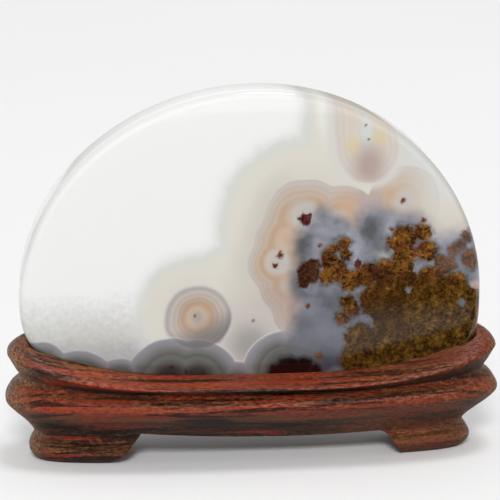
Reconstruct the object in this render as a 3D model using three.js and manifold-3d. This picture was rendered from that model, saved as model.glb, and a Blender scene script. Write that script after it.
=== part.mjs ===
// Agate viewing stone: a polished oval slab of agate standing on edge in a carved hardwood stand.
// Millimetres, +Z up. X runs along the slab's length, -Y is the side it is shown from, and the
// origin is on the ground under the middle of the stand.

import * as THREE from 'three';
import { mergeVertices } from 'three/addons/utils/BufferGeometryUtils.js';
import Module from 'manifold-3d';

// The slab: an oval, fuller at its lower corners, seen square on
const STONE_TOP_Z = 94.7;
const STONE_WIDEST_Z = 41.5;
const STONE_BOTTOM_Z = 14.5;
const STONE_LEFT_X = -58.4;
const STONE_RIGHT_X = 57.0;
const STONE_TOP_X = 0.9;
const STONE_BOTTOM_X = -0.7;
const STONE_UPPER_FULLNESS = 2.0;
const STONE_LOWER_LEFT_FULLNESS = 2.45;
const STONE_LOWER_RIGHT_FULLNESS = 3.3;
const STONE_THICKNESS = 11.5;
const STONE_EDGE_RADIUS = 2.4;
const STONE_CROWN = 0.25;
const STONE_CROWN_POWER = 8;

// The stand: mouldings carved round one oblong plan, given here at the boldest of them
const STAND_HALF_LENGTH = 62.4;
const STAND_HALF_DEPTH = 16.2;
const STAND_FULLNESS = 3.0;

// Each moulding from the ground up: how far it stands out from that plan, its height at the middle
// of the stand and how much higher it runs at the ends, and how far it strays to one side and how
// much it tilts along its length, as carving by hand does
const MOULDINGS = [
  { out: -8.6, height: 0.0, rise: 0.0, stray: -0.5, tilt: 0.0 },
  { out: -6.8, height: 1.7, rise: 0.0, stray: -0.5, tilt: 0.0 },
  { out: -6.2, height: 3.2, rise: 0.2, stray: -0.5, tilt: 0.0 },
  { out: -6.8, height: 4.3, rise: 0.9, stray: -0.7, tilt: 0.0 },
  { out: -7.8, height: 5.3, rise: 1.8, stray: -0.8, tilt: 0.0 },
  { out: -7.0, height: 7.3, rise: 1.5, stray: -0.6, tilt: 0.0 },
  { out: -4.7, height: 10.3, rise: 0.9, stray: -0.2, tilt: 0.0 },
  { out: -1.7, height: 13.6, rise: 0.4, stray: 0.0, tilt: 0.0 },
  { out: 0.0, height: 16.2, rise: 0.2, stray: 0.0, tilt: 0.0 },
  { out: -1.3, height: 17.9, rise: 1.3, stray: 0.0, tilt: 0.2 },
  { out: -3.6, height: 19.1, rise: 2.7, stray: 0.0, tilt: 0.4 },
  { out: -2.3, height: 20.0, rise: 4.7, stray: 0.0, tilt: 0.4 },
  { out: -0.7, height: 20.9, rise: 6.9, stray: 0.0, tilt: 0.3 },
];
const RISE_POWER = 3.0;

// The rim's top, from the roll of the last moulding in to the slot that holds the slab. It stands
// a little higher at one end.
const RIM_HEIGHT = 22.3;
const RIM_RISE = 11.0;
const RIM_RISE_POWER = 3.6;
const RIM_TILT = 0.4;
const RIM_ROLL = 2.0;
const RIM_SWEEP = 0.75;
const SLOT_GAP = 0.3;
const CAP_INSET = 2.5;

// The cut that leaves the feet: its top line sags at the middle, one side sweeps out to the ground
// and the other drops straight to it
const CUT_LEFT = { foot: -39.5, shoulder: -29.0, height: 8.7, bends: [[0.43, 0.12], [0.86, 0.46]] };
const CUT_RIGHT = { foot: 37.4, shoulder: 31.1, height: 6.9, bends: [[0.3, 0.4], [0.56, 0.97]] };
const CUT_MIDDLE_HEIGHT = 6.6;

const OUTLINE_STEPS = 80;
const PLAN_STEPS = 88;
const PROFILE_STEPS = 24;
const RIM_STEPS = 6;
const EDGE_STEPS = 4;
const FACE_RINGS = [0.45, 0.75, 0.92, 1];

const power = (value, exponent) => Math.sign(value) * Math.abs(value) ** exponent;

// The slab's outline in X and Z, drawn in by an inset that is the same all round
class StoneOutline extends THREE.Curve {
  constructor(inset) {
    super();
    this.inset = inset;
  }

  getPoint(t) {
    const across = Math.cos(2 * Math.PI * t);
    const upward = Math.sin(2 * Math.PI * t);
    const upper = upward > 0;
    const lowerFullness = across > 0 ? STONE_LOWER_RIGHT_FULLNESS : STONE_LOWER_LEFT_FULLNESS;
    const fullness = upper ? STONE_UPPER_FULLNESS : lowerFullness;
    const middleX = upper ? STONE_TOP_X : STONE_BOTTOM_X;
    const sideX = across > 0 ? STONE_RIGHT_X : STONE_LEFT_X;
    const endZ = upper ? STONE_TOP_Z : STONE_BOTTOM_Z;
    const width = Math.abs(sideX - middleX) - this.inset;
    const height = Math.abs(endZ - STONE_WIDEST_Z) - this.inset;
    return new THREE.Vector2(
      middleX + width * power(across, 2 / fullness),
      STONE_WIDEST_Z + height * power(upward, 2 / fullness),
    );
  }
}

// An oblong plan in X and Y with full, rounded ends
class OblongPlan extends THREE.Curve {
  constructor(halfLength, halfDepth) {
    super();
    this.halfLength = halfLength;
    this.halfDepth = halfDepth;
  }

  getPoint(t) {
    const angle = 2 * Math.PI * t;
    return new THREE.Vector2(
      this.halfLength * power(Math.cos(angle), 2 / STAND_FULLNESS),
      this.halfDepth * power(Math.sin(angle), 2 / STAND_FULLNESS),
    );
  }
}

// A closed skin over a stack of rings with the same number of points, with a fan over each end.
// Seen from its outside, each ring runs anticlockwise with the next ring above it.
function skin(rings, firstCentre, lastCentre) {
  const count = rings[0].length;
  const vertices = [firstCentre, ...rings.flat(), lastCentre];
  const last = vertices.length - 1;
  const at = (ring, i) => 1 + ring * count + (i % count);
  const faces = [];
  for (let i = 0; i < count; i += 1) {
    faces.push(0, at(0, i + 1), at(0, i));
    faces.push(last, at(rings.length - 1, i), at(rings.length - 1, i + 1));
    for (let ring = 0; ring < rings.length - 1; ring += 1) {
      const [a, b] = [at(ring, i), at(ring, i + 1)];
      const [c, d] = [at(ring + 1, i), at(ring + 1, i + 1)];
      faces.push(a, b, d, a, d, c);
    }
  }
  const geometry = new THREE.BufferGeometry().setFromPoints(vertices);
  geometry.setIndex(faces);
  return geometry;
}

// The slab, from the middle of its back face round the edge to the middle of its front face, which
// looks along -Y. Its faces are all but flat, and fall away a little towards their rounded edge.
// grow makes it that much bigger on every side, for the slot it stands in.
function slabGeometry(grow) {
  const halfThickness = STONE_THICKNESS / 2 + grow;
  const centre = new THREE.Vector2(STONE_TOP_X, (STONE_TOP_Z + STONE_BOTTOM_Z) / 2);
  const ringAt = (inset, y, scale = 1) =>
    new StoneOutline(inset - grow).getSpacedPoints(OUTLINE_STEPS).slice(0, -1).map((point) => {
      const place = point.sub(centre).multiplyScalar(scale).add(centre);
      return new THREE.Vector3(place.x, y, place.y);
    });
  const faceY = (scale) => halfThickness - STONE_CROWN * scale ** STONE_CROWN_POWER;
  const face = FACE_RINGS.map((scale) => ringAt(STONE_EDGE_RADIUS, faceY(scale), scale));
  const edge = [];
  for (let step = 1; step <= EDGE_STEPS; step += 1) {
    const turn = (step / EDGE_STEPS) * (Math.PI / 2);
    const inset = STONE_EDGE_RADIUS * (1 - Math.sin(turn));
    edge.push(ringAt(inset, faceY(1) - STONE_EDGE_RADIUS * (1 - Math.cos(turn))));
  }
  const half = [...face, ...edge];
  const mirrored = half.map((ring) => ring.map((p) => new THREE.Vector3(p.x, -p.y, p.z)));
  const tip = (y) => new THREE.Vector3(centre.x, y, centre.y);
  return skin([...half, ...mirrored.reverse()], tip(halfThickness), tip(-halfThickness));
}

// One ring of the stand: a plan lifted towards its ends, and tilted along its length
function standRing({ halfLength, halfDepth, height, rise, power: curve, stray, tilt }) {
  return new OblongPlan(halfLength, halfDepth).getSpacedPoints(PLAN_STEPS).slice(0, -1).map(
    ({ x, y }) => {
      const along = x / halfLength;
      const lift = rise * Math.abs(along) ** curve - tilt * along;
      return new THREE.Vector3(x + stray, y, height + lift);
    },
  );
}

// A value of the mouldings, drawn smoothly through them from the ground up
function mouldingCurve(name) {
  return new THREE.SplineCurve(MOULDINGS.map((ring, i) => new THREE.Vector2(i, ring[name])))
    .getPoints(PROFILE_STEPS)
    .map((point) => point.y);
}

// The stand's outside, from the ground up over the rim, closed over where the slot is cut
function standGeometry() {
  const [outs, heights, rises, strays, tilts] =
    ['out', 'height', 'rise', 'stray', 'tilt'].map(mouldingCurve);
  const sides = outs.map((out, i) => ({
    halfLength: STAND_HALF_LENGTH + out,
    halfDepth: STAND_HALF_DEPTH + out,
    height: heights[i],
    rise: rises[i],
    power: RISE_POWER,
    stray: strays[i],
    tilt: tilts[i],
  }));

  const roll = sides.at(-1);
  const cap = {
    halfLength: (STONE_RIGHT_X - STONE_LEFT_X) / 2 - CAP_INSET,
    halfDepth: STONE_THICKNESS / 2 - CAP_INSET,
    height: RIM_HEIGHT,
    rise: RIM_RISE,
    power: RIM_RISE_POWER,
    stray: 0,
    tilt: RIM_TILT,
  };
  const rim = [];
  for (let step = 1; step <= RIM_STEPS; step += 1) {
    const inward = 1 - Math.cos((step / RIM_STEPS) * (Math.PI / 2));
    const upward = (1 - (1 - inward) ** RIM_ROLL) ** (1 / RIM_ROLL);
    const mix = (name, share) => THREE.MathUtils.lerp(roll[name], cap[name], share);
    rim.push({
      halfLength: mix('halfLength', inward),
      halfDepth: mix('halfDepth', inward),
      height: mix('height', upward),
      rise: mix('rise', inward ** RIM_SWEEP),
      power: mix('power', inward),
      stray: mix('stray', inward),
      tilt: mix('tilt', upward),
    });
  }
  const rings = [...sides, ...rim].map(standRing);
  return skin(rings, new THREE.Vector3(), new THREE.Vector3(0, 0, RIM_HEIGHT));
}

// The long cut under the stand, right through from front to back. Each side runs from the ground
// up to its shoulder, and its bends are shares of the way in and of the way up.
function longCutGeometry() {
  const place = ({ foot, shoulder, height }, [inward, upward]) =>
    [THREE.MathUtils.lerp(foot, shoulder, inward), height * upward];
  const bend = (side, i) => place(side, side.bends[i]);
  const sag = 2 * CUT_MIDDLE_HEIGHT - (CUT_LEFT.height + CUT_RIGHT.height) / 2;
  const outline = new THREE.Shape();
  outline.moveTo(CUT_LEFT.foot, -1);
  outline.lineTo(CUT_RIGHT.foot, -1);
  outline.lineTo(CUT_RIGHT.foot, 0);
  outline.bezierCurveTo(...bend(CUT_RIGHT, 0), ...bend(CUT_RIGHT, 1), ...place(CUT_RIGHT, [1, 1]));
  outline.quadraticCurveTo(0, sag, ...place(CUT_LEFT, [1, 1]));
  outline.bezierCurveTo(...bend(CUT_LEFT, 1), ...bend(CUT_LEFT, 0), CUT_LEFT.foot, 0);
  outline.closePath();
  const depth = 2 * STAND_HALF_DEPTH;
  return new THREE.ExtrudeGeometry(outline, { depth, bevelEnabled: false, curveSegments: 8 })
    .translate(0, 0, -depth / 2)
    .rotateX(Math.PI / 2);
}

const wasm = await Module();
wasm.setup();

// A closed geometry as a solid, with points that coincide made one
function toSolid(geometry) {
  geometry.deleteAttribute('normal');
  geometry.deleteAttribute('uv');
  const merged = mergeVertices(geometry);
  const vertProperties = merged.getAttribute('position').array;
  const triVerts = Uint32Array.from(merged.index.array);
  return new wasm.Manifold(new wasm.Mesh({ numProp: 3, vertProperties, triVerts }));
}

function toGeometry(solid) {
  const { vertProperties, triVerts } = solid.getMesh();
  const geometry = new THREE.BufferGeometry();
  geometry.setAttribute('position', new THREE.BufferAttribute(vertProperties, 3));
  geometry.setIndex(new THREE.BufferAttribute(triVerts, 1));
  geometry.computeVertexNormals();
  return geometry;
}

const stand = toSolid(standGeometry())
  .subtract(toSolid(slabGeometry(SLOT_GAP)))
  .subtract(toSolid(longCutGeometry()));

const agate = new THREE.MeshStandardMaterial({ color: 0xd8d6d3, roughness: 0.12, metalness: 0 });
const rosewood = new THREE.MeshStandardMaterial({ color: 0x5f3426, roughness: 0.45, metalness: 0 });

const part = new THREE.Group();

const stoneMesh = new THREE.Mesh(slabGeometry(0), agate);
stoneMesh.name = 'agate_stone';
part.add(stoneMesh);

const standMesh = new THREE.Mesh(toGeometry(stand), rosewood);
standMesh.name = 'wooden_stand';
part.add(standMesh);

export default part;
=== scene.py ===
import math

import bmesh
import bpy
import numpy as np
from mathutils import Matrix, Vector


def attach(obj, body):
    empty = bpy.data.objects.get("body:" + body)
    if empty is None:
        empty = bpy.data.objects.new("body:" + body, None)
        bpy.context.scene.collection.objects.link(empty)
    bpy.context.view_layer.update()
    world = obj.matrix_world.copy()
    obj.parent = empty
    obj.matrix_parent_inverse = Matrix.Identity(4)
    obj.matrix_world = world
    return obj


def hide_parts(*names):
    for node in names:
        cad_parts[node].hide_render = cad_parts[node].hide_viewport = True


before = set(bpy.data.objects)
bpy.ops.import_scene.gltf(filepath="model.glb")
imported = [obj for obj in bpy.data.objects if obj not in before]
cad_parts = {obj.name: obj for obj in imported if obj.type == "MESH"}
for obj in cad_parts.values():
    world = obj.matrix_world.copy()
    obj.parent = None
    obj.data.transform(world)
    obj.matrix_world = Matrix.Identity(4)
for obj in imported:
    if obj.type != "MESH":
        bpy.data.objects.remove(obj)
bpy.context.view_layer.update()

# Agate viewing stone: a polished slab of agate on edge in a carved hardwood stand.
# Shapes are worked out in millimetres and turned to metres as each mesh is made.
MM = 0.001
ROOT = "root"

# The slab: an oval, fuller at its lower corners, seen square on
STONE_TOP_Z = 94.7
STONE_WIDEST_Z = 41.5
STONE_BOTTOM_Z = 14.5
STONE_LEFT_X = -58.4
STONE_RIGHT_X = 57.0
STONE_TOP_X = 0.9
STONE_BOTTOM_X = -0.7
STONE_UPPER_FULLNESS = 2.0
STONE_LOWER_LEFT_FULLNESS = 2.45
STONE_LOWER_RIGHT_FULLNESS = 3.3
STONE_THICKNESS = 11.5
STONE_EDGE_RADIUS = 2.4
STONE_CROWN = 0.25
STONE_CROWN_POWER = 8
STONE_FACE_RINGS = (0.3, 0.6, 0.75, 0.83, 0.88, 0.92, 0.95, 0.975, 1.0)
STONE_EDGE_STEPS = 14
STONE_OUTLINE_STEPS = 480

# The stand: mouldings carved round one oblong plan, given here at the boldest of them
STAND_HALF_LENGTH = 62.4
STAND_HALF_DEPTH = 16.2
STAND_FULLNESS = 3.0
# From the ground up: out from that plan, height, rise at the ends, stray to one side, tilt
MOULDINGS = (
    (-8.6, 0.0, 0.0, -0.5, 0.0),
    (-6.8, 1.7, 0.0, -0.5, 0.0),
    (-6.2, 3.2, 0.2, -0.5, 0.0),
    (-6.8, 4.3, 0.9, -0.7, 0.0),
    (-7.8, 5.3, 1.8, -0.8, 0.0),
    (-7.0, 7.3, 1.5, -0.6, 0.0),
    (-4.7, 10.3, 0.9, -0.2, 0.0),
    (-1.7, 13.6, 0.4, 0.0, 0.0),
    (0.0, 16.2, 0.2, 0.0, 0.0),
    (-1.3, 17.9, 1.3, 0.0, 0.2),
    (-3.6, 19.1, 2.7, 0.0, 0.4),
    (-2.3, 20.0, 4.7, 0.0, 0.4),
    (-0.7, 20.9, 6.9, 0.0, 0.3),
)
RISE_POWER = 3.0
RIM_HEIGHT = 22.3
RIM_RISE = 11.0
RIM_RISE_POWER = 3.6
RIM_TILT = 0.4
RIM_ROLL = 2.0
RIM_SWEEP = 0.75
SLOT_GAP = 0.3
CAP_INSET = 2.5
PLAN_STEPS = 480
PROFILE_STEPS = 84
RIM_STEPS = 20

# The cut that leaves the feet: foot, shoulder, height, and bends as shares of the way in and up
CUT_LEFT = (-39.5, -29.0, 8.7, ((0.43, 0.12), (0.86, 0.46)))
CUT_RIGHT = (37.4, 31.1, 6.9, ((0.3, 0.4), (0.56, 0.97)))
CUT_MIDDLE_HEIGHT = 6.6
CUT_STEPS = 24

# The camera looks a little down on the stone, from slightly to its left
CAMERA_AZIMUTH = math.radians(-5.95)
CAMERA_ELEVATION = math.radians(17.0)
CAMERA_ROLL = math.radians(0.15)
CAMERA_DISTANCE = 650.0
CAMERA_TARGET = (0.0, 0.0, 47.6)
FRAME_PIXELS = 500
FOCAL_PIXELS = 2600.0
TARGET_PIXEL = (252.93, 270.22)
SENSOR_WIDTH = 36.0


def power(value, exponent):
    return np.sign(value) * np.abs(value) ** exponent


def evenly(points, count):
    """That many points, evenly spaced round a closed line of many more."""
    closed = np.vstack([points, points[:1]])
    lengths = np.linalg.norm(np.diff(closed, axis=0), axis=1)
    run = np.concatenate([[0.0], np.cumsum(lengths)])
    at = np.linspace(0.0, run[-1], count, endpoint=False)
    return np.column_stack([np.interp(at, run, closed[:, axis]) for axis in range(2)])


def turns(count):
    return np.linspace(0.0, 2 * math.pi, count, endpoint=False)


def new_object(name, mesh):
    piece = bpy.data.objects.new(name, mesh)
    bpy.context.scene.collection.objects.link(piece)
    return piece


def skin(name, rings, first_centre, last_centre):
    """A closed smooth skin over rings of as many points each, given in millimetres. Seen from
    outside, each ring runs anticlockwise with the next ring above it."""
    count = len(rings[0])
    vertices = np.vstack([[first_centre], *rings, [last_centre]]) * MM
    step = np.arange(count)
    following = (step + 1) % count
    last_ring = 1 + (len(rings) - 1) * count
    faces = [(0, 1 + b, 1 + a) for a, b in zip(step, following)]
    faces += [(len(vertices) - 1, last_ring + a, last_ring + b) for a, b in zip(step, following)]
    for ring in range(len(rings) - 1):
        low = 1 + ring * count
        high = low + count
        faces += [(low + a, low + b, high + b, high + a) for a, b in zip(step, following)]
    mesh = bpy.data.meshes.new(name)
    mesh.from_pydata(vertices.tolist(), [], [tuple(int(i) for i in face) for face in faces])
    mesh.shade_smooth()
    return mesh


def stone_outline(inset):
    """The slab's outline in X and Z, drawn in by an inset that is the same all round."""
    turn = turns(8 * STONE_OUTLINE_STEPS)
    across = np.cos(turn)
    upward = np.sin(turn)
    upper = upward > 0
    lower_fullness = np.where(across > 0, STONE_LOWER_RIGHT_FULLNESS, STONE_LOWER_LEFT_FULLNESS)
    fullness = np.where(upper, STONE_UPPER_FULLNESS, lower_fullness)
    middle_x = np.where(upper, STONE_TOP_X, STONE_BOTTOM_X)
    side_x = np.where(across > 0, STONE_RIGHT_X, STONE_LEFT_X)
    end_z = np.where(upper, STONE_TOP_Z, STONE_BOTTOM_Z)
    width = np.abs(side_x - middle_x) - inset
    height = np.abs(end_z - STONE_WIDEST_Z) - inset
    x = middle_x + width * power(across, 2 / fullness)
    z = STONE_WIDEST_Z + height * power(upward, 2 / fullness)
    return evenly(np.column_stack([x, z]), STONE_OUTLINE_STEPS)


def slab_mesh(name, grow=0.0):
    """The slab, from the middle of its back face round the edge to the middle of its front."""
    half_thickness = STONE_THICKNESS / 2 + grow
    centre = np.array([STONE_TOP_X, (STONE_TOP_Z + STONE_BOTTOM_Z) / 2])

    def ring(inset, y, scale=1.0):
        points = (stone_outline(inset - grow) - centre) * scale + centre
        return np.column_stack([points[:, 0], np.full(len(points), y), points[:, 1]])

    def face_y(scale):
        return half_thickness - STONE_CROWN * scale**STONE_CROWN_POWER

    half = [ring(STONE_EDGE_RADIUS, face_y(scale), scale) for scale in STONE_FACE_RINGS]
    for turn in np.linspace(0.0, math.pi / 2, STONE_EDGE_STEPS + 1)[1:]:
        drop = STONE_EDGE_RADIUS * (1 - math.cos(turn))
        half.append(ring(STONE_EDGE_RADIUS * (1 - math.sin(turn)), face_y(1.0) - drop))
    mirrored = [points * (1, -1, 1) for points in reversed(half)]
    tips = [(centre[0], side * half_thickness, centre[1]) for side in (1, -1)]
    return skin(name, [*half, *mirrored], *tips)


def drawn_through(values, steps):
    """A curve drawn smoothly through evenly spaced values."""
    values = np.asarray(values, float)
    place = np.linspace(0.0, len(values) - 1, steps + 1)
    index = np.minimum(place.astype(int), len(values) - 1)
    share = place - index
    last = len(values) - 1
    before = values[np.maximum(index - 1, 0)]
    start = values[index]
    end = values[np.minimum(index + 1, last)]
    after = values[np.minimum(index + 2, last)]
    leave = (end - before) / 2
    arrive = (after - start) / 2
    cubic = 2 * start - 2 * end + leave + arrive
    square = -3 * start + 3 * end - 2 * leave - arrive
    return ((cubic * share + square) * share + leave) * share + start


def stand_ring(out_length, out_depth, height, rise, rise_power, stray, tilt):
    """One ring of the stand: a plan lifted towards its ends, and tilted along its length."""
    turn = turns(8 * PLAN_STEPS)
    x = out_length * power(np.cos(turn), 2 / STAND_FULLNESS)
    y = out_depth * power(np.sin(turn), 2 / STAND_FULLNESS)
    plan = evenly(np.column_stack([x, y]), PLAN_STEPS)
    along = plan[:, 0] / out_length
    lift = rise * np.abs(along) ** rise_power - tilt * along
    return np.column_stack([plan[:, 0] + stray, plan[:, 1], height + lift])


def stand_mesh(name):
    """The stand's outside, from the ground up over the rim, closed over where the slot is cut."""
    columns = [drawn_through(column, PROFILE_STEPS) for column in zip(*MOULDINGS)]
    sides = [
        (STAND_HALF_LENGTH + out, STAND_HALF_DEPTH + out, height, rise, RISE_POWER, stray, tilt)
        for out, height, rise, stray, tilt in zip(*columns)
    ]
    cap = (
        (STONE_RIGHT_X - STONE_LEFT_X) / 2 - CAP_INSET,
        STONE_THICKNESS / 2 - CAP_INSET,
        RIM_HEIGHT,
        RIM_RISE,
        RIM_RISE_POWER,
        0.0,
        RIM_TILT,
    )
    rim = []
    for turn in np.linspace(0.0, math.pi / 2, RIM_STEPS + 1)[1:]:
        inward = 1 - math.cos(turn)
        upward = (1 - (1 - inward) ** RIM_ROLL) ** (1 / RIM_ROLL)
        shares = (inward, inward, upward, inward**RIM_SWEEP, inward, inward, upward)
        rim.append([a + (b - a) * share for a, b, share in zip(sides[-1], cap, shares)])
    rings = [stand_ring(*ring) for ring in [*sides, *rim]]
    return skin(name, rings, (0, 0, 0), (0, 0, RIM_HEIGHT))


def bezier(points, steps):
    share = np.linspace(0.0, 1.0, steps + 1)[:, None]
    points = [np.asarray(point, float) for point in points]
    while len(points) > 1:
        points = [a + (b - a) * share for a, b in zip(points, points[1:])]
    return points[0]


def cut_mesh(name):
    """The long cut under the stand, right through from front to back."""

    def side(foot, shoulder, height, bends):
        bent = [(foot + (shoulder - foot) * across, height * up) for across, up in bends]
        return [(foot, 0.0), *bent, (shoulder, height)]

    left = side(*CUT_LEFT)
    right = side(*CUT_RIGHT)
    sag = 2 * CUT_MIDDLE_HEIGHT - (left[-1][1] + right[-1][1]) / 2
    outline = np.vstack(
        [
            [(left[0][0], -1.0), (right[0][0], -1.0)],
            bezier(right, CUT_STEPS),
            bezier([right[-1], (0.0, sag), left[-1]], 2 * CUT_STEPS)[1:],
            bezier(left[::-1], CUT_STEPS)[1:],
        ]
    )
    mesh = bpy.data.meshes.new(name)
    shape = bmesh.new()
    front = [shape.verts.new(Vector((x, -STAND_HALF_DEPTH, z)) * MM) for x, z in outline]
    face = shape.faces.new(front)
    grown = bmesh.ops.extrude_face_region(shape, geom=[face])["geom"]
    moved = [item for item in grown if isinstance(item, bmesh.types.BMVert)]
    bmesh.ops.translate(shape, verts=moved, vec=(0.0, 2 * STAND_HALF_DEPTH * MM, 0.0))
    bmesh.ops.recalc_face_normals(shape, faces=shape.faces)
    shape.to_mesh(mesh)
    shape.free()
    return mesh


def cut_away(piece, cutters):
    """Cuts the cutters out of the piece, and leaves it with an applied mesh of its own."""
    for cutter in cutters:
        change = piece.modifiers.new(cutter.name, "BOOLEAN")
        change.operation = "DIFFERENCE"
        change.solver = "EXACT"
        change.object = cutter
    evaluated = piece.evaluated_get(bpy.context.evaluated_depsgraph_get())
    mesh = bpy.data.meshes.new_from_object(evaluated)
    piece.modifiers.clear()
    piece.data = mesh
    for cutter in cutters:
        bpy.data.objects.remove(cutter)


def soften_edges(piece, angle, width):
    """Rounds off the sharp edges that the cuts left."""
    mesh = piece.data
    shape = bmesh.new()
    shape.from_mesh(mesh)
    bmesh.ops.remove_doubles(shape, verts=shape.verts, dist=width / 3)
    sharp = [edge for edge in shape.edges if edge.is_manifold and edge.calc_face_angle() > angle]
    bmesh.ops.bevel(
        shape, geom=sharp, offset=width, segments=3, affect="EDGES", clamp_overlap=True
    )
    shape.to_mesh(mesh)
    shape.free()
    mesh.shade_smooth()


class Field:
    """A number, vector or colour worked out by shader nodes, so that a pattern reads as sums."""

    def __init__(self, graph, socket):
        self.graph = graph
        self.socket = socket

    def __add__(self, other):
        return self.graph.math("ADD", self, other)

    __radd__ = __add__

    def __sub__(self, other):
        return self.graph.math("SUBTRACT", self, other)

    def __rsub__(self, other):
        return self.graph.math("SUBTRACT", other, self)

    def __mul__(self, other):
        return self.graph.math("MULTIPLY", self, other)

    __rmul__ = __mul__

    def __neg__(self):
        return self * -1.0


class Graph:
    """The nodes of one material, with the patterns made from them."""

    def __init__(self, name):
        self.material = bpy.data.materials.new(name)
        self.material.use_nodes = True
        tree = self.material.node_tree
        self.nodes = tree.nodes
        self.links = tree.links
        self.shader = next(n for n in self.nodes if n.type == "BSDF_PRINCIPLED")
        self.place = self.scaled(self.node("ShaderNodeTexCoord", "Object"), 1 / MM)

    def node(self, kind, output, inputs=(), **settings):
        made = self.nodes.new(kind)
        for name, value in settings.items():
            setattr(made, name, value)
        for key, value in dict(inputs).items():
            self.feed(made.inputs[key], value)
        return Field(self, made.outputs[output])

    def feed(self, socket, value):
        if isinstance(value, Field):
            self.links.new(value.socket, socket)
        else:
            socket.default_value = value

    def math(self, operation, a, b=0.0, c=0.0):
        return self.node("ShaderNodeMath", 0, {0: a, 1: b, 2: c}, operation=operation)

    def vector(self, operation, a, b, output=0):
        return self.node("ShaderNodeVectorMath", output, {0: a, 1: b}, operation=operation)

    def scaled(self, vector, scale):
        scale = scale if isinstance(scale, tuple) else (scale, scale, scale)
        return self.vector("MULTIPLY", vector, scale)

    def parts(self, vector):
        apart = self.nodes.new("ShaderNodeSeparateXYZ")
        self.feed(apart.inputs[0], vector)
        return [Field(self, socket) for socket in apart.outputs]

    def joined(self, x, y, z):
        return self.node("ShaderNodeCombineXYZ", 0, {0: x, 1: y, 2: z})

    def noise(self, place, size, detail=2.0, roughness=0.5, output=0):
        """Soft noise from 0 to 1 whose lumps are about that many millimetres across."""
        inputs = {"Vector": place, "Scale": 1 / size, "Detail": detail, "Roughness": roughness}
        return self.node("ShaderNodeTexNoise", output, inputs)

    def cells(self, place, size):
        """How far a place is from the middle of its cell, the cells being about that size."""
        inputs = {"Vector": place, "Scale": 1 / size}
        return self.node("ShaderNodeTexVoronoi", "Distance", inputs, feature="F1")

    def step(self, value, low, high):
        """0 below low and 1 above high, with a smooth step between them."""
        if low > high:
            return self.ranged(value, high, low, 1.0, 0.0, "SMOOTHSTEP")
        return self.ranged(value, low, high, 0.0, 1.0, "SMOOTHSTEP")

    def ranged(self, value, low, high, to_low, to_high, kind="LINEAR"):
        inputs = {"Value": value, "From Min": low, "From Max": high, "To Min": to_low}
        inputs["To Max"] = to_high
        return self.node("ShaderNodeMapRange", 0, inputs, interpolation_type=kind)

    def ramp(self, value, stops):
        """A colour drawn through stops of (value, colour)."""
        low, high = stops[0][0], stops[-1][0]
        made = self.nodes.new("ShaderNodeValToRGB")
        self.feed(made.inputs[0], self.ranged(value, low, high, 0.0, 1.0))
        elements = made.color_ramp.elements
        while len(elements) < len(stops):
            elements.new(0.5)
        for element, (at, colour) in zip(elements, stops):
            element.position = (at - low) / (high - low)
            element.color = painted(colour)
        return Field(self, made.outputs[0])

    def over(self, under, colour, share):
        """A colour laid over another, to that share."""
        colour = painted(colour) if isinstance(colour, tuple) else colour
        under = painted(under) if isinstance(under, tuple) else under
        inputs = {0: share, 6: under, 7: colour}
        return self.node("ShaderNodeMix", 2, inputs, data_type="RGBA")

    def shaded(self, colour, factor):
        """A colour made darker or lighter by a factor."""
        grey = self.joined(factor, factor, factor)
        inputs = {0: 1.0, 6: colour, 7: grey}
        return self.node("ShaderNodeMix", 2, inputs, data_type="RGBA", blend_type="MULTIPLY")

    def disc(self, place, x, z, radius):
        """How far a place is outside a disc of the slab's plane, in millimetres."""
        return self.vector("DISTANCE", place, (x, z, 0.0), "Value") - radius

    def union(self, place, discs, softness):
        joined = self.disc(place, *discs[0])
        for disc in discs[1:]:
            joined = self.math("SMOOTH_MIN", joined, self.disc(place, *disc), softness)
        return joined


# The veil of light that a polished face throws back, and how bright a white face comes out
VEIL = 0.004
FACE_LIGHT = 1.09


def painted(colour):
    """A colour seen on the object, 0 to 255 each, as a surface colour under the studio light."""
    shown = np.array(colour) / 255
    linear = np.where(shown <= 0.04045, shown / 12.92, ((shown + 0.055) / 1.055) ** 2.4)
    own = np.clip((linear - VEIL) / FACE_LIGHT, 0.002, 0.95)
    return (*own.tolist(), 1.0)


# The agate's pattern, as places in the slab's plane: x, z and radius in millimetres.
# The clouds that the white body stone changes to cream in
CREAM_CLOUDS = (
    (-14.3, 37.6, 15.2),
    (-5.0, 45.0, 11.0),
    (-2.0, 34.0, 13.0),
    (13.5, 60.6, 22.2),
    (28.6, 83.1, 17.0),
    (28.0, 95.0, 16.0),
)
# The ringed nodules round the dark heart
RINGED = (
    (6.5, 51.3, 8.3),
    (8.6, 57.0, 8.5),
    (9.8, 45.2, 8.6),
    (12.4, 62.2, 10.2),
    (13.0, 39.6, 9.0),
    (21.0, 60.7, 9.9),
    (36.9, 66.2, 9.0),
)
# The grey nodules along the foot of the slab
GREY_NODULES = (
    (-53.7, 24.4, 8.0),
    (-44.6, 18.9, 11.0),
    (-34.1, 20.4, 7.0),
    (-21.4, 21.4, 10.9),
    (-14.3, 21.0, 10.5),
    (-4.6, 19.8, 6.0),
    (7.6, 22.5, 11.0),
)
# The blue-grey heart of the stone
BLUE_HEART = (
    (16.5, 60.3, 4.8),
    (18.6, 54.0, 9.0),
    (21.2, 46.2, 12.0),
    (22.6, 34.3, 13.0),
    (30.5, 58.4, 6.5),
    (37.4, 56.6, 6.5),
    (44.3, 50.2, 7.5),
    (51.9, 50.5, 7.0),
    (41.6, 32.4, 21.2),
    (14.3, 28.0, 8.0),
)
# The pale middles of ringed nodules
PALE_MIDDLES = (
    (6.2, 51.3, 3.4),
    (11.8, 64.5, 3.4),
    (36.9, 66.0, 2.9),
)
# The eye by itself at the lower left, and the tall oval at the upper right
EYE = (-14.3, 37.6)
OVAL = ((27.8, 79.4, 8.4), (27.3, 84.5, 8.5), (27.0, 90.0, 8.3))
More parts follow.
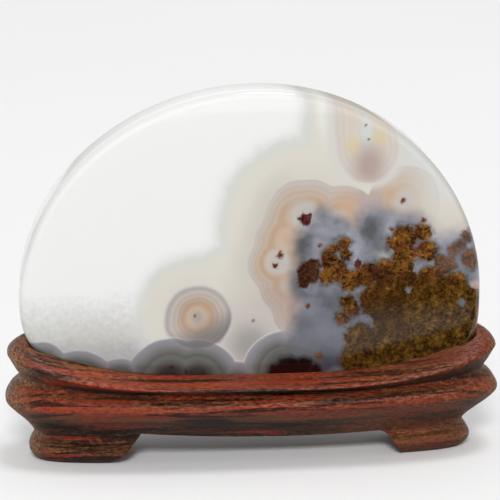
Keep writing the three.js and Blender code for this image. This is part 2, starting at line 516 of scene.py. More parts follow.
# Darker and lighter places in the blue-grey heart
HEART_DARKS = (
    (11.9, 56.1, 1.6), (9.5, 52.6, 0.9), (29.2, 59.8, 1.4), (30.0, 56.4, 1.8),
    (30.4, 53.0, 3.0), (18.5, 42.6, 2.6), (8.7, 47.0, 0.2), (9.2, 43.8, 0.2),
    (53.0, 47.4, 1.6),
)
HEART_LIGHTS = (
    (33.4, 60.6, 1.4), (22.5, 58.6, 2.0), (25.0, 54.4, 1.0),
    (17.4, 32.8, 1.8), (44.6, 56.4, 1.6), (24.6, 49.6, 1.0), (19.6, 63.4, 1.4),
    (13.0, 39.6, 1.8), (18.8, 59.5, 1.8),
)

# Clumps of rust-brown moss
MOSS = (
    (37.3, 56.9, 2.5), (41.6, 57.8, 1.6), (34.1, 55.4, 1.2), (43.0, 53.4, 2.2),
    (37.4, 52.2, 2.5), (37.3, 48.8, 2.2), (18.6, 50.9, 1.8), (20.2, 48.8, 2.0),
    (23.7, 46.1, 2.2), (27.5, 47.3, 2.5), (32.5, 47.7, 2.8), (36.3, 45.7, 3.0),
    (17.7, 47.3, 1.5), (22.1, 55.7, 1.1), (20.1, 54.5, 0.9), (18.1, 53.5, 0.8),
    (22.4, 52.4, 1.2), (48.1, 49.3, 1.9), (54.4, 50.7, 1.8), (53.2, 56.7, 0.9),
    (51.3, 54.2, 1.0), (49.5, 53.2, 0.8), (46.5, 51.2, 0.6), (33.8, 43.2, 3.5),
    (30.0, 40.6, 3.4), (26.9, 31.2, 2.8), (32.7, 38.5, 4.0), (36.5, 33.9, 6.0),
    (41.5, 40.3, 6.5), (47.8, 40.1, 6.0),
    (52.2, 37.4, 6.0), (44.2, 31.0, 8.5), (54.4, 32.0, 7.5), (34.1, 27.4, 5.5),
    (50.3, 44.0, 3.0), (43.9, 45.5, 3.0), (23.0, 40.6, 1.2), (24.3, 38.2, 1.5),
    (22.1, 36.2, 1.2), (26.4, 32.1, 2.2), (24.7, 30.3, 1.5), (25.3, 25.0, 3.5),
    (29.4, 39.4, 2.0), (30.4, 24.3, 5.0),
)
# Gaps of clear stone in the moss
MOSS_GAPS = ((28.4, 35.0, 1.5), (38.4, 43.1, 1.4), (52.1, 39.5, 1.4))
# Solid lumps: the brown-red block beside the moss, and the dark ones at the foot
BROWN_LUMP = ((13.4, 48.2, 2.9), (12.0, 46.0, 1.6), (14.6, 50.4, 1.8))
DARK_LUMP = ((5.2, 22.4, 2.2), (8.4, 23.4, 3.2), (12.2, 23.8, 2.6), (15.2, 22.6, 1.8))
RED_STAR = (
    (12.3, 62.2, 1.5), (13.4, 62.9, 0.7), (11.0, 62.4, 0.6), (12.2, 61.0, 0.7), (25.8, 50.4, 1.0),
)
RUST_SPOTS = (
    (6.4, 53.1, 0.9), (5.2, 50.3, 0.8), (13.0, 39.6, 0.6), (36.7, 66.2, 0.6),
    (16.1, 55.4, 0.4), (34.0, 58.8, 0.5), (41.8, 61.1, 0.7),
    (16.1, 26.6, 0.9),
)
FOOT_MARKS = ((-20.9, 24.6, 0.6), (-17.2, 23.2, 0.6), (-15.6, 23.2, 0.5), (-13.0, 23.0, 0.4))
DARK_SPECKS = ((-0.5, 36.1, 0.3), (-14.8, 37.9, 0.35), (27.1, 85.7, 0.3), (27.9, 81.9, 0.3))


# How far the pattern drifts to the side and down for each millimetre through the slab
DRIFT_ACROSS = 0.22
DRIFT_DOWN = 0.12
# How the pattern wanders: the size of the waves, and how far they carry it
WANDER = (9.0, 1.3)
SHIVER = (1.6, 1.1)
# How much painted light brightens the upper edge, and how much painted shade darkens its front
# slope
EDGE_GLOW = 0.22
EDGE_SHADE = 0.13
AGATE_ROUGHNESS = 0.08
AGATE_IOR = 1.54


def moved(graph, place, size, reach):
    """A place carried about by soft noise of that size, as far as that reach."""
    noise = graph.noise(graph.place, size, 2.0, 0.5, "Color")
    away = graph.vector("SUBTRACT", noise, (0.5, 0.5, 0.5))
    return graph.vector("ADD", place, graph.scaled(away, (reach, reach, 0.0)))


def agate_material():
    """Polished agate: white body stone, ringed nodules, a blue-grey heart and brown moss."""
    graph = Graph("agate")
    x, y, z = graph.parts(graph.place)
    # The pattern runs through the slab and drifts as it goes
    depth = y + STONE_THICKNESS / 2
    flat = graph.joined(x + depth * DRIFT_ACROSS, z + depth * DRIFT_DOWN, 0.0)
    place = moved(graph, flat, *WANDER)
    fine = moved(graph, place, *SHIVER)

    colour = body_colour(graph, place, z)
    colour = ringed_colour(graph, place, colour)
    colour = oval_colour(graph, place, colour)
    colour = eye_colour(graph, place, colour)
    colour = heart_colour(graph, place, z, colour)
    colour = foot_colour(graph, place, colour)
    colour = eye_shadow(graph, place, colour)
    colour = moss_colour(graph, fine, colour)
    colour = lump_colours(graph, fine, colour)
    # Painted light brightens the thin upper edge, as if light came through, and painted shade
    # darkens its front slope
    _, back, upward = graph.parts(graph.node("ShaderNodeNewGeometry", "Normal"))
    glow = graph.step(back, -0.35, 0.05) * graph.step(upward, 0.1, 0.5) * EDGE_GLOW
    slope = graph.step(graph.math("ABSOLUTE", back + 0.6), 0.38, 0.1)
    slope = slope * graph.step(upward, 0.0, 0.3) * EDGE_SHADE
    colour = graph.shaded(colour, 1.0 + glow - slope)
    graph.feed(graph.shader.inputs["Base Color"], colour)
    graph.shader.inputs["Roughness"].default_value = AGATE_ROUGHNESS
    graph.shader.inputs["IOR"].default_value = AGATE_IOR
    return graph.material


def body_colour(graph, place, z):
    """White body stone, cream clouds with a grey-green edge, and the mottled foot."""
    cloud = graph.union(place, CREAM_CLOUDS, 1.5)
    ragged = cloud + (graph.noise(place, 5.0, 3.0) - 0.5) * 2.4
    colour = graph.ramp(
        ragged,
        (
            (-10.0, (213, 208, 198)),
            (-5.0, (217, 213, 202)),
            (-2.6, (217, 214, 204)),
            (-1.0, (213, 213, 207)),
            (0.0, (214, 215, 210)),
            (1.0, (224, 224, 221)),
            (2.4, (234, 234, 232)),
            (4.0, (238, 238, 237)),
        ),
    )
    lower = z + (graph.noise(place, 6.0, 4.0, 0.6) - 0.5) * 5.0
    mottled = graph.ramp(
        lower,
        (
            (27.0, (176, 177, 176)),
            (30.5, (188, 188, 186)),
            (33.0, (202, 202, 197)),
            (36.0, (209, 209, 205)),
            (39.0, (221, 221, 219)),
            (42.0, (230, 230, 229)),
            (46.0, (237, 237, 236)),
        ),
    )
    speckle = graph.noise(place, 1.3, 3.0, 0.6)
    mottled = graph.shaded(mottled, graph.ranged(speckle, 0.3, 0.7, 0.9, 1.06))
    outside = graph.step(cloud, -3.0, 3.0)
    colour = graph.over(colour, mottled, graph.step(lower, 47.0, 40.0) * outside)
    # Pale warm stone beside the tall oval, and pinkish grey below the ringed nodules
    band = graph.step(graph.disc(graph.scaled(place, (1.0, 0.3, 0.0)), 17.2, 26.9, 0.0), 3.4, 0.6)
    colour = graph.over(colour, (229, 229, 223), band * 0.9)
    tint = graph.step(graph.disc(place, -0.5, 34.0, 0.0), 14.0, 5.0)
    colour = graph.over(colour, (198, 191, 186), tint * 0.8)
    dusk = graph.step(graph.disc(place, -1.0, 30.0, 0.0), 9.0, 1.0)
    colour = graph.over(colour, (146, 142, 140), dusk * 0.75)
    # Greyer stone to the right of the oval, yellowing downwards
    across, height, _ = graph.parts(place)
    right = graph.step(across, 33.0, 38.0)
    pale = graph.ramp(
        height,
        (
            (58.0, (205, 198, 190)),
            (60.5, (212, 205, 194)),
            (63.5, (214, 209, 199)),
            (68.0, (214, 213, 209)),
            (80.0, (210, 211, 208)),
        ),
    )
    return graph.over(colour, pale, right)


RING_STOPS = (
    (-10.5, (160, 150, 150)),
    (-8.6, (188, 180, 175)),
    (-7.3, (198, 190, 180)),
    (-6.3, (195, 176, 156)),
    (-5.4, (190, 162, 138)),
    (-4.7, (189, 164, 142)),
    (-3.9, (195, 178, 160)),
    (-3.1, (190, 171, 156)),
    (-2.4, (195, 182, 170)),
    (-1.7, (191, 178, 169)),
    (-1.1, (197, 187, 178)),
    (-0.6, (195, 186, 180)),
    (-0.1, (191, 184, 179)),
    (0.2, (202, 198, 191)),
)


def ringed_colour(graph, place, colour):
    """The joined nodules with fine orange and pink rings, and their warm halo."""
    x, z, _ = graph.parts(place)
    edge = graph.union(place, RINGED, 1.2)
    # The leftmost nodule's rings lie closer together
    depth = edge * graph.ranged(x, 1.0, 9.0, 1.6, 1.0)
    fibres = graph.noise(depth_only(graph, depth), 0.5, 2.0)
    swell = graph.noise(place, 5.0, 2.0)
    rings = graph.ramp(depth + (fibres - 0.5) * 0.5 + (swell - 0.5) * 1.6, RING_STOPS)
    # The rings are pinker low down and to the left, and paler at the upper right
    pink = graph.step(z, 52.0, 40.0)
    rings = graph.over(rings, (176, 157, 150), pink * 0.55)
    pale = graph.step(x + z * 0.6, 66.0, 78.0)
    rings = graph.over(rings, (208, 200, 190), pale * 0.45)
    mauve = graph.step(graph.disc(place, 28.0, 66.0, 0.0), 6.0, 2.0)
    rings = graph.over(rings, (182, 164, 160), mauve * 0.8)
    for patch_x, patch_z, reach in (
        (22.6, 66.0, 5.0), (23.2, 61.0, 3.4), (33.4, 67.6, 3.6), (8.2, 57.2, 4.6),
    ):
        orange = graph.step(graph.disc(place, patch_x, patch_z, 0.0), reach, 0.5)
        rings = graph.over(rings, (199, 168, 143), orange * 0.8)
    near = graph.step(edge, 6.0, 0.0) * graph.step(x, 12.0, 2.0)
    colour = graph.over(colour, (190, 184, 177), near * 0.45)
    fading = graph.ranged(x, 36.0, 44.0, 1.0, 0.35)
    return graph.over(colour, rings, graph.step(edge, 0.25, -0.25) * fading)


def depth_only(graph, depth):
    return graph.joined(depth, 0.0, 0.0)


def oval_colour(graph, place, colour):
    """The tall ringed oval, pale inside, with a mauve foot."""
    depth = graph.union(place, OVAL, 3.0)
    rings = graph.ramp(
        depth,
        (
            (-9.0, (206, 208, 205)),
            (-7.2, (204, 203, 197)),
            (-6.0, (211, 203, 190)),
            (-5.0, (212, 201, 186)),
            (-4.2, (210, 200, 187)),
            (-3.4, (212, 203, 190)),
            (-2.7, (206, 197, 187)),
            (-2.0, (210, 202, 194)),
            (-1.4, (205, 196, 191)),
            (-0.8, (211, 204, 198)),
            (0.0, (214, 211, 205)),
        ),
    )
    core = graph.step(graph.disc(graph.scaled(place, (1.0, 0.35, 0.0)), 27.5, 29.5, 0.0), 2.0, 0.6)
    rings = graph.over(rings, (207, 210, 208), core)
    mauve = graph.step(graph.disc(graph.scaled(place, (1.0, 0.8, 0.0)), 28.0, 60.6, 0.0), 6.6, 0.8)
    rings = graph.over(rings, (178, 159, 152), mauve * 0.95)
    for patch_x, patch_z in ((24.0, 80.5), (30.9, 82.5)):
        yellow = graph.step(graph.disc(place, patch_x, patch_z, 0.0), 3.0, 0.4)
        rings = graph.over(rings, (213, 197, 152), yellow * 0.6)
    halo = graph.step(depth, 2.6, 0.2)
    colour = graph.over(colour, (211, 209, 202), halo * 0.8)
    return graph.over(colour, rings, graph.step(depth, 0.4, -0.4))


def eye_colour(graph, place, colour):
    """The round eye with fine rings about a pale middle."""
    x, z, _ = graph.parts(place)
    depth = graph.disc(place, *EYE, 0.0) + (z - EYE[1]) * 0.07
    fibres = graph.noise(depth_only(graph, depth), 0.6, 2.0)
    depth = depth + (fibres - 0.5) * 0.5
    rings = graph.ramp(
        depth,
        (
            (0.0, (170, 160, 152)),
            (0.9, (174, 162, 151)),
            (1.8, (189, 174, 157)),
            (2.6, (194, 171, 148)),
            (3.3, (186, 160, 137)),
            (3.9, (178, 153, 136)),
            (4.5, (184, 166, 151)),
            (5.0, (178, 161, 150)),
            (5.6, (191, 179, 168)),
            (6.2, (184, 172, 163)),
            (6.8, (195, 185, 175)),
            (7.2, (185, 177, 170)),
            (7.6, (176, 170, 168)),
            (8.0, (171, 166, 167)),
            (8.4, (192, 188, 183)),
            (9.2, (208, 204, 196)),
        ),
    )
    glow = graph.step(x + z, 23.0, 29.0) * graph.step(graph.math("ABSOLUTE", depth - 3.4), 1.0, 0.2)
    rings = graph.over(rings, (196, 160, 128), glow * 0.5)
    return graph.over(colour, rings, graph.step(depth, 9.2, 8.2))


def eye_shadow(graph, place, colour):
    """Painted shade over the eye's lower right, where the grey nodules behind it also show through.
    """
    depth = graph.disc(place, *EYE, 0.0)
    x, z, _ = graph.parts(place)
    low = graph.step(z - x * 0.45, 44.0, 36.8) * graph.step(depth, 8.7, 7.9)
    return graph.over(colour, (110, 108, 106), low * 0.82)


def heart_colour(graph, place, z, colour):
    """Blue-grey chalcedony in soft clouds round the moss."""
    billow = (graph.noise(place, 6.0, 2.0) - 0.5) * 4.0
    depth = graph.union(place, BLUE_HEART, 3.0) + billow
    cloud = graph.noise(place, 7.0, 2.0, 0.5)
    wisps = graph.noise(place, 2.6, 3.0, 0.6)
    darks = graph.step(graph.union(place, HEART_DARKS, 1.0), 3.2, -2.4)
    lights = graph.step(graph.union(place, HEART_LIGHTS, 1.0), 2.4, -1.6)
    blue = graph.ramp(
        0.5 + (cloud - 0.5) * 0.7 + (wisps - 0.5) * 0.35 - darks * 0.16 + lights * 0.12,
        (
            (0.3, (92, 94, 95)),
            (0.42, (114, 116, 121)),
            (0.5, (131, 132, 141)),
            (0.6, (146, 147, 156)),
            (0.7, (162, 163, 170)),
        ),
    )
    low = graph.step(z, 50.0, 34.0)
    blue = graph.over(blue, (98, 100, 110), low * 0.75)
    # Darker at the heart's foot above the rim: partly the stone's own dark, partly painted shade
    # where the rim keeps light from it
    blue = graph.over(blue, (60, 62, 76), graph.step(z, 29.5, 23.5) * 0.8)
    arc = graph.step(graph.math("ABSOLUTE", graph.disc(place, 38.0, 57.5, 4.8)), 1.8, 0.2)
    arc = arc * graph.step(graph.parts(place)[0], 36.0, 32.0)
    blue = graph.over(blue, (172, 173, 179), arc * 0.45)
    pink = graph.step(graph.disc(place, 55.6, 43.4, 1.6), 1.0, -1.0)
    blue = graph.over(blue, (190, 166, 156), pink)
    colour = graph.over(colour, blue, graph.step(depth, 2.4, -2.4))
    pale = graph.union(place, PALE_MIDDLES, 0.4)
    return graph.over(colour, (190, 184, 180), graph.step(pale, 1.4, -2.6) * 0.8)


def foot_colour(graph, place, colour):
    """The grey nodules along the foot, each with a thin pale rim."""
    depth = graph.union(place, GREY_NODULES, 0.35)
    x = graph.parts(place)[0]
    steep = 1.0 + graph.step(x, -27.0, -31.0) * 0.5
    grey = graph.ramp(
        depth * steep,
        (
            (-11.0, (44, 44, 50)),
            (-9.0, (52, 50, 52)),
            (-7.6, (64, 62, 61)),
            (-6.6, (82, 81, 79)),
            (-5.6, (100, 99, 95)),
            (-4.8, (106, 105, 102)),
            (-4.1, (94, 94, 90)),
            (-3.4, (108, 108, 106)),
            (-2.6, (120, 119, 120)),
            (-2.0, (131, 130, 133)),
            (-1.2, (138, 137, 142)),
            (-0.5, (146, 145, 151)),
            (0.0, (166, 165, 172)),
        ),
    )
    near = graph.step(x, 11.5, 5.5)
    colour = graph.over(colour, grey, graph.step(depth, 0.1, -0.5) * near)
    rim = graph.step(graph.math("ABSOLUTE", depth - 0.15), 0.3, 0.05)
    rim = rim * graph.step(x, 7.5, 3.5) * graph.ranged(x, -30.0, -25.0, 0.2, 0.65)
    colour = graph.over(colour, (204, 203, 210), rim)
    arc = graph.step(graph.math("ABSOLUTE", graph.disc(place, 10.0, 21.6, 6.6)), 1.8, 0.3)
    colour = graph.over(colour, (92, 91, 87), arc * 0.5)
    deep = graph.step(graph.disc(place, 10.0, 21.6, 0.0), 6.0, 3.0)
    return graph.over(colour, (58, 56, 62), deep * 0.7)


def lump_colours(graph, fine, colour):
    """The solid lumps, the small red and rust marks, and the dark specks."""
    jagged = (graph.noise(fine, 1.2, 4.0, 0.75) - 0.5) * 2.2
    grain = graph.noise(fine, 1.0, 4.0, 0.7)
    brown = graph.ramp(
        grain + graph.step(graph.parts(fine)[0], 11.0, 16.0) * 0.12,
        (
            (0.35, (38, 14, 10)),
            (0.5, (62, 32, 22)),
            (0.62, (76, 50, 38)),
            (0.75, (88, 66, 52)),
        ),
    )
    dark = graph.ramp(grain, ((0.35, (14, 8, 10)), (0.65, (40, 20, 20))))
    red = graph.ramp(grain, ((0.35, (56, 18, 20)), (0.65, (108, 62, 56))))
    rust = graph.ramp(grain, ((0.35, (72, 32, 12)), (0.65, (132, 76, 34))))
    for lumps, shade, softness, blur in (
        (BROWN_LUMP, brown, 0.8, 0.5),
        (DARK_LUMP, dark, 0.8, 1.1),
        (RED_STAR, red, 0.2, 0.3),
        (RUST_SPOTS, rust, 0.1, 0.4),
        (FOOT_MARKS, (62, 44, 38), 0.1, 0.5),
    ):
        edge = graph.union(fine, lumps, softness) + jagged
        colour = graph.over(colour, shade, graph.step(edge, blur, -blur))
    specks = graph.union(fine, DARK_SPECKS, 0.05)
    return graph.over(colour, (98, 86, 76), graph.step(specks, 0.25, -0.1) * 0.7)


def moss_colour(graph, fine, colour):
    """Clumps of brown moss with a crumbly edge and a thin dark rim."""
    grown = graph.union(fine, MOSS, 1.0)
    gaps = graph.union(fine, MOSS_GAPS, 0.4)
    mass = graph.math("MAXIMUM", grown, -gaps)
    lumps = graph.cells(fine, 1.7)
    crumbs = graph.noise(fine, 1.1, 4.0, 0.65)
    edge = mass + (lumps - 0.45) * 1.1 + (crumbs - 0.5) * 2.4 - 0.6
    x, z, _ = graph.parts(fine)

    # Grains of orange in dark brown above, growing fine and olive brown at the lower right
    clots = graph.cells(fine, 1.25)
    grains = graph.noise(fine, 0.8, 5.0, 0.75)
    patches = graph.noise(fine, 4.5, 3.0, 0.6)
    lower = graph.step(z + (patches - 0.5) * 16.0 - x * 0.1, 47.0, 34.0)
    right = graph.step(x + (40.0 - z) * 0.6 + (patches - 0.5) * 10.0, 24.0, 32.0)
    deep = right * graph.step(z, 50.0, 45.0)
    value = grains * 0.9 - 0.05 + (0.5 - clots) * 0.12 + (patches - 0.5) * 0.6 - deep * 0.05
    bright = graph.ramp(
        value,
        (
            (0.22, (30, 22, 17)),
            (0.31, (52, 35, 22)),
            (0.38, (82, 52, 28)),
            (0.45, (112, 73, 34)),
            (0.55, (146, 98, 44)),
            (0.68, (184, 142, 76)),
        ),
    )
    tinge = graph.noise(fine, 2.8, 2.0)
    bright = graph.over(bright, (104, 52, 36), graph.step(tinge, 0.5, 0.66) * 0.5)
    bright = graph.over(bright, (140, 108, 42), graph.step(tinge, 0.44, 0.34) * 0.3)
    behind = graph.step(x, 44.0, 48.0) * graph.step(z, 46.0, 49.0)
    bright = graph.over(bright, (122, 102, 96), behind * 0.4)
    blotches = graph.noise(graph.scaled(fine, (1.0, 0.7, 1.0)), 2.2, 6.0, 0.7)
    olive = graph.ramp(
        grains * 0.4 + blotches * 0.6,
        (
            (0.36, (28, 18, 8)),
            (0.43, (48, 32, 13)),
            (0.49, (72, 49, 20)),
            (0.55, (98, 70, 30)),
            (0.61, (124, 93, 42)),
            (0.7, (154, 122, 62)),
        ),
    )
    gold = graph.step(grains + (patches - 0.5) * 0.4, 0.55, 0.7)
    olive = graph.over(olive, (136, 96, 42), gold * 0.35)
    shade = graph.over(bright, olive, lower * right)
    brown = graph.step(graph.disc(fine, 31.0, 39.0, 0.0) + (patches - 0.5) * 14.0, 12.0, 5.0)
    shade = graph.over(shade, (50, 33, 19), brown * 0.5)
    pale = graph.step(graph.math("ABSOLUTE", mass - 2.4), 2.6, 0.2) * graph.step(z, 40.0, 46.0)
    colour = graph.over(colour, (156, 158, 167), pale * 0.16)
    rim = graph.step(edge, 1.3, 0.0)
    colour = graph.over(colour, (70, 64, 56), rim * 0.5)
    return graph.over(colour, shade, graph.step(edge, 0.4, -0.4))


# The wood's colours by height up the mouldings, from the feet to the rim, with painted shade in the
# dark bands of the cove under the rim and of the waist below the bead
WOOD_ZONES_AND_SHADE = (
    (0.0, (92, 40, 31)),
    (2.2, (112, 46, 35)),
    (3.6, (104, 66, 45)),
    (5.2, (80, 50, 37)),
    (7.0, (60, 36, 28)),
    (10.0, (70, 42, 31)),
    (12.4, (88, 56, 39)),
    (13.4, (116, 78, 50)),
    (14.6, (126, 56, 40)),
    (16.4, (138, 60, 42)),
    (17.8, (98, 48, 36)),
    (19.2, (66, 38, 30)),
    (20.2, (84, 43, 32)),
    (21.4, (124, 50, 36)),
    (22.6, (120, 56, 40)),
    (24.0, (134, 80, 55)),
)
# Its colours where the carving cuts across the grain, by a speckle from 0 to 1
END_GRAIN = (
    (0.32, (52, 34, 27)),
    (0.48, (118, 84, 62)),
    (0.56, (140, 108, 84)),
    (0.7, (176, 144, 112)),
)
WOOD_DARK = (28, 17, 14)
WOOD_RED = (160, 48, 32)
WOOD_GOLD = (156, 112, 66)
WOOD_FIBRE = (30, 17, 13)
WOOD_SPECULAR = 0.25
WOOD_RELIEF = 0.1 * MM


def rosewood_material():
    """Dark red hardwood, its grain along the stand, with fine golden and dark fibres."""
    graph = Graph("rosewood")
    x, y, z = graph.parts(graph.place)
    # The grain sweeps up to the ends as the mouldings do
    along = graph.math("ABSOLUTE", x) * (1 / STAND_HALF_LENGTH)
    sweep = graph.math("MAXIMUM", z - 16.0, 0.0) * 0.6 + 1.2
    level = z - graph.math("POWER", along, 3.0) * sweep
    bend = graph.noise(graph.scaled(graph.place, (0.12, 1.0, 1.0)), 8.0, 2.0) - 0.5
    ring = level + y * 0.4 + bend * 3.0
    bands = graph.noise(graph.joined(x * 0.05, ring, y * 0.1), 1.25, 3.0, 0.62)
    zones = graph.noise(graph.joined(x * 0.14, level, y), 4.0, 3.0, 0.6)
    colour = graph.ramp(level + bend * 2.0 + (zones - 0.5) * 3.0, WOOD_ZONES_AND_SHADE)
    dark = graph.step(bands, 0.49, 0.4)
    colour = graph.over(colour, WOOD_DARK, dark * 0.85)
    red = graph.step(bands + (zones - 0.5) * 0.5, 0.52, 0.62)
    colour = graph.over(colour, WOOD_RED, red * graph.ranged(x, 0.0, 35.0, 0.7, 0.35))
    # Browner to the right, on the rim and the bead
    duller = graph.step(x, 15.0, 45.0) * graph.step(z, 12.0, 15.0)
    colour = graph.over(colour, (72, 42, 32), duller * 0.4)
    # Below the bead, painted light makes it tanner to the right, and painted shade darkens it left
    # of the middle
    below = graph.step(z, 13.0, 10.0)
    colour = graph.over(colour, (120, 74, 50), graph.step(x, 5.0, 30.0) * below * 0.4)
    shadow = graph.step(graph.math("ABSOLUTE", x + 22.0), 26.0, 8.0) * below
    colour = graph.over(colour, (34, 20, 16), shadow * 0.45)
    facing = graph.parts(graph.node("ShaderNodeNewGeometry", "Normal"))
    upward = facing[2]
    fibres = graph.noise(graph.joined(x * 0.32, level, y), 0.5, 4.0, 0.8)
    # Golden fibres of the grain; the extra share of them on up-facing slopes is painted light
    golden = graph.step(fibres + graph.step(upward, -0.2, 0.9) * 0.03, 0.51, 0.64)
    golden = golden * graph.ranged(zones, 0.38, 0.62, 0.15, 0.7) * (1.0 - dark * 0.5)
    colour = graph.over(colour, WOOD_GOLD, golden)
    dark_fibres = graph.step(fibres, 0.48, 0.36)
    colour = graph.over(colour, WOOD_FIBRE, dark_fibres * 0.6)
    # Painted shade makes the undersides darker, and the ends are paler where the carving turns
    # across the grain
    colour = graph.shaded(colour, graph.ranged(upward, -0.7, 0.1, 0.6, 1.0))
    ends = graph.step(graph.math("ABSOLUTE", facing[0]), 0.25, 0.8)
    end_grain = graph.ramp(graph.noise(graph.place, 0.6, 3.0, 0.7), END_GRAIN)
    colour = graph.over(colour, end_grain, ends * graph.ranged(x, -60.0, 60.0, 0.85, 0.45))
    tip = graph.step(x, -54.0, -60.0) * graph.step(z, 22.0, 27.0)
    colour = graph.over(colour, end_grain, tip * 0.6)
    graph.feed(graph.shader.inputs["Base Color"], colour)
    graph.feed(graph.shader.inputs["Roughness"], graph.ranged(upward, -0.2, 0.6, 0.62, 0.4))
    graph.shader.inputs["Specular IOR Level"].default_value = WOOD_SPECULAR
    height = bands * 0.8 + golden * 0.3 - dark_fibres * 0.8
    inputs = {"Strength": 0.5, "Distance": WOOD_RELIEF, "Height": height}
    graph.feed(graph.shader.inputs["Normal"], graph.node("ShaderNodeBump", 0, inputs))
    return graph.material


# Cut edges sharper than this are rounded off, to this width
SHARP_ANGLE = math.radians(35)
SOFT_EDGE = 0.3 * MM


def make_stone():
    piece = new_object("agate_slab", slab_mesh("agate_slab"))
    piece.data.materials.append(agate_material())
    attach(piece, ROOT)
    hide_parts("agate_stone")


def make_stand():
    piece = new_object("carved_stand", stand_mesh("carved_stand"))
    slot = new_object("slot", slab_mesh("slot", SLOT_GAP))
    cut = new_object("cut", cut_mesh("cut"))
    cut_away(piece, [slot, cut])
    soften_edges(piece, SHARP_ANGLE, SOFT_EDGE)
    piece.data.materials.clear()
    piece.data.materials.append(rosewood_material())
    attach(piece, ROOT)
    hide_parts("wooden_stand")


# The floor, in metres, and its pale greys
FLOOR_HALF = 6.0
FLOOR_TONES = ((0.3, (244, 244, 244)), (0.7, (247, 247, 247)))
FLOOR_ROUGHNESS = 0.9


def flat_mesh(name, corners):
    mesh = bpy.data.meshes.new(name)
    mesh.from_pydata(corners, [], [(0, 1, 2, 3)])
    return mesh


def make_floor():
    half = FLOOR_HALF
    corners = [(-half, -half, 0), (half, -half, 0), (half, half, 0), (-half, half, 0)]
    floor = new_object("floor", flat_mesh("floor", corners))
    graph = Graph("pale_floor")
    tone = graph.noise(graph.place, 400.0, 2.0)
    graph.feed(graph.shader.inputs["Base Color"], graph.ramp(tone, FLOOR_TONES))
    graph.shader.inputs["Roughness"].default_value = FLOOR_ROUGHNESS
    floor.data.materials.append(graph.material)


# The lights, all turned to one place: name, place and size in metres, watts, shown in polish
LIGHTS = (
    ("softbox_front", (-0.62, -4.74, 3.78), (1.6, 1.2), 215.0, False),
    ("softbox_above", (0.9, -0.3, 5.8), (1.6, 1.6), 88.0, True),
    ("strip", (-0.3, -1.0, 1.9), (0.9, 0.15), 1.0, True),
)
LIT_PLACE = (0.0, 0.0, 0.04)
# The sky's strength, by the sine of the height above the horizon
SKY_FADE = {"From Min": 0.15, "From Max": 0.5, "To Min": 0.15, "To Max": 0.58}


def area_light(name, place, size, watts, in_polish):
    light = bpy.data.lights.new(name, "AREA")
    light.shape = "RECTANGLE"
    light.size, light.size_y = size
    light.energy = watts
    lamp = new_object(name, light)
    lamp.location = place
    aim = Vector(LIT_PLACE) - Vector(place)
    lamp.rotation_euler = aim.to_track_quat("-Z", "Y").to_euler()
    lamp.visible_glossy = in_polish


def make_lights():
    """A sky that darkens to the horizon, with soft lights in front and above and a small strip."""
    world = bpy.data.worlds.new("studio")
    world.use_nodes = True
    background = world.node_tree.nodes["Background"]
    background.inputs["Color"].default_value = (1.0, 1.0, 1.0, 1.0)
    way = world.node_tree.nodes.new("ShaderNodeTexCoord")
    apart = world.node_tree.nodes.new("ShaderNodeSeparateXYZ")
    fade = world.node_tree.nodes.new("ShaderNodeMapRange")
    for name, value in SKY_FADE.items():
        fade.inputs[name].default_value = value
    world.node_tree.links.new(way.outputs["Generated"], apart.inputs[0])
    world.node_tree.links.new(apart.outputs["Z"], fade.inputs["Value"])
    world.node_tree.links.new(fade.outputs[0], background.inputs["Strength"])
    bpy.context.scene.world = world
    for light in LIGHTS:
        area_light(*light)


# The dark card before the slab, in metres: how far in front, half its length, and its height
FLAG_FRONT = -0.05
FLAG_HALF_LENGTH = 0.3
FLAG_HEIGHT = 0.082
# How much of the card its thin foot keeps, and the line below which it is whole again at the
# right, in millimetres: where the line leaves the level, its level, and its slope from there
FLAG_FOOT = 0.45
FLAG_LINE_START = 28.0
FLAG_LINE_LEVEL = 10.4
FLAG_LINE_SLOPE = 0.22


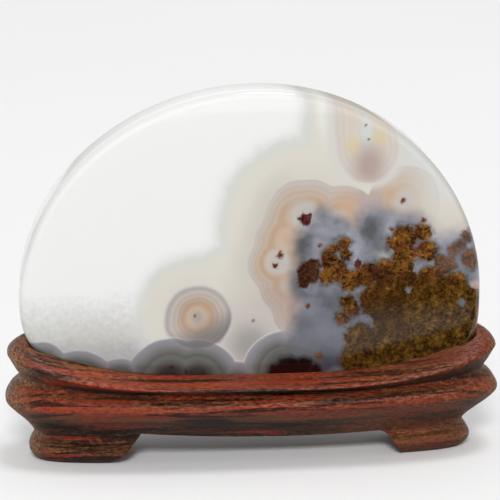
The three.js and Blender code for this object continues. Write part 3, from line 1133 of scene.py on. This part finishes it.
def make_flag():
    """A dark card in front of the slab, seen only in its polish, and thinner at its foot."""
    half, front, high = FLAG_HALF_LENGTH, FLAG_FRONT, FLAG_HEIGHT
    corners = [(-half, front, 0), (half, front, 0), (half, front, high), (-half, front, high)]
    flag = new_object("flag", flat_mesh("flag", corners))
    graph = Graph("flag_card")
    graph.shader.inputs["Base Color"].default_value = (0.0, 0.0, 0.0, 1.0)
    graph.shader.inputs["Roughness"].default_value = 1.0
    graph.shader.inputs["Specular IOR Level"].default_value = 0.0
    x, _, z = graph.parts(graph.place)
    high_part = graph.ranged(z, 20.0, 26.0, FLAG_FOOT, 1.0)
    line = graph.math("MAXIMUM", x - FLAG_LINE_START, 0.0) * FLAG_LINE_SLOPE + FLAG_LINE_LEVEL
    low_part = graph.step(z - line, 0.4, -0.4) * graph.step(x, 4.0, 14.0)
    graph.feed(graph.shader.inputs["Alpha"], graph.math("MAXIMUM", high_part, low_part))
    flag.data.materials.append(graph.material)
    flag.visible_camera = False
    flag.visible_diffuse = False
    flag.visible_shadow = False


def make_camera():
    azimuth = CAMERA_AZIMUTH
    elevation = CAMERA_ELEVATION
    back = Vector(
        (
            math.sin(azimuth) * math.cos(elevation),
            -math.cos(azimuth) * math.cos(elevation),
            math.sin(elevation),
        )
    )
    level = Vector((math.cos(azimuth), math.sin(azimuth), 0.0))
    upright = back.cross(level)
    right = level * math.cos(CAMERA_ROLL) + upright * math.sin(CAMERA_ROLL)
    up = upright * math.cos(CAMERA_ROLL) - level * math.sin(CAMERA_ROLL)
    middle = FRAME_PIXELS / 2
    look = (
        -back
        + right * ((middle - TARGET_PIXEL[0]) / FOCAL_PIXELS)
        + up * ((TARGET_PIXEL[1] - middle) / FOCAL_PIXELS)
    ).normalized()
    right = look.cross(up).normalized()
    up = right.cross(look)
    lens = bpy.data.cameras.new("camera")
    lens.sensor_width = SENSOR_WIDTH
    lens.lens = SENSOR_WIDTH * FOCAL_PIXELS / FRAME_PIXELS
    lens.clip_start = 0.01
    camera = new_object("camera", lens)
    turn = Matrix((right, up, -look)).transposed().to_4x4()
    place = (Vector(CAMERA_TARGET) + back * CAMERA_DISTANCE) * MM
    camera.matrix_world = Matrix.Translation(place) @ turn
    bpy.context.scene.camera = camera


make_camera()
make_lights()
make_floor()
make_flag()
make_stone()
make_stand()
bpy.context.scene.view_settings.view_transform = "Standard"
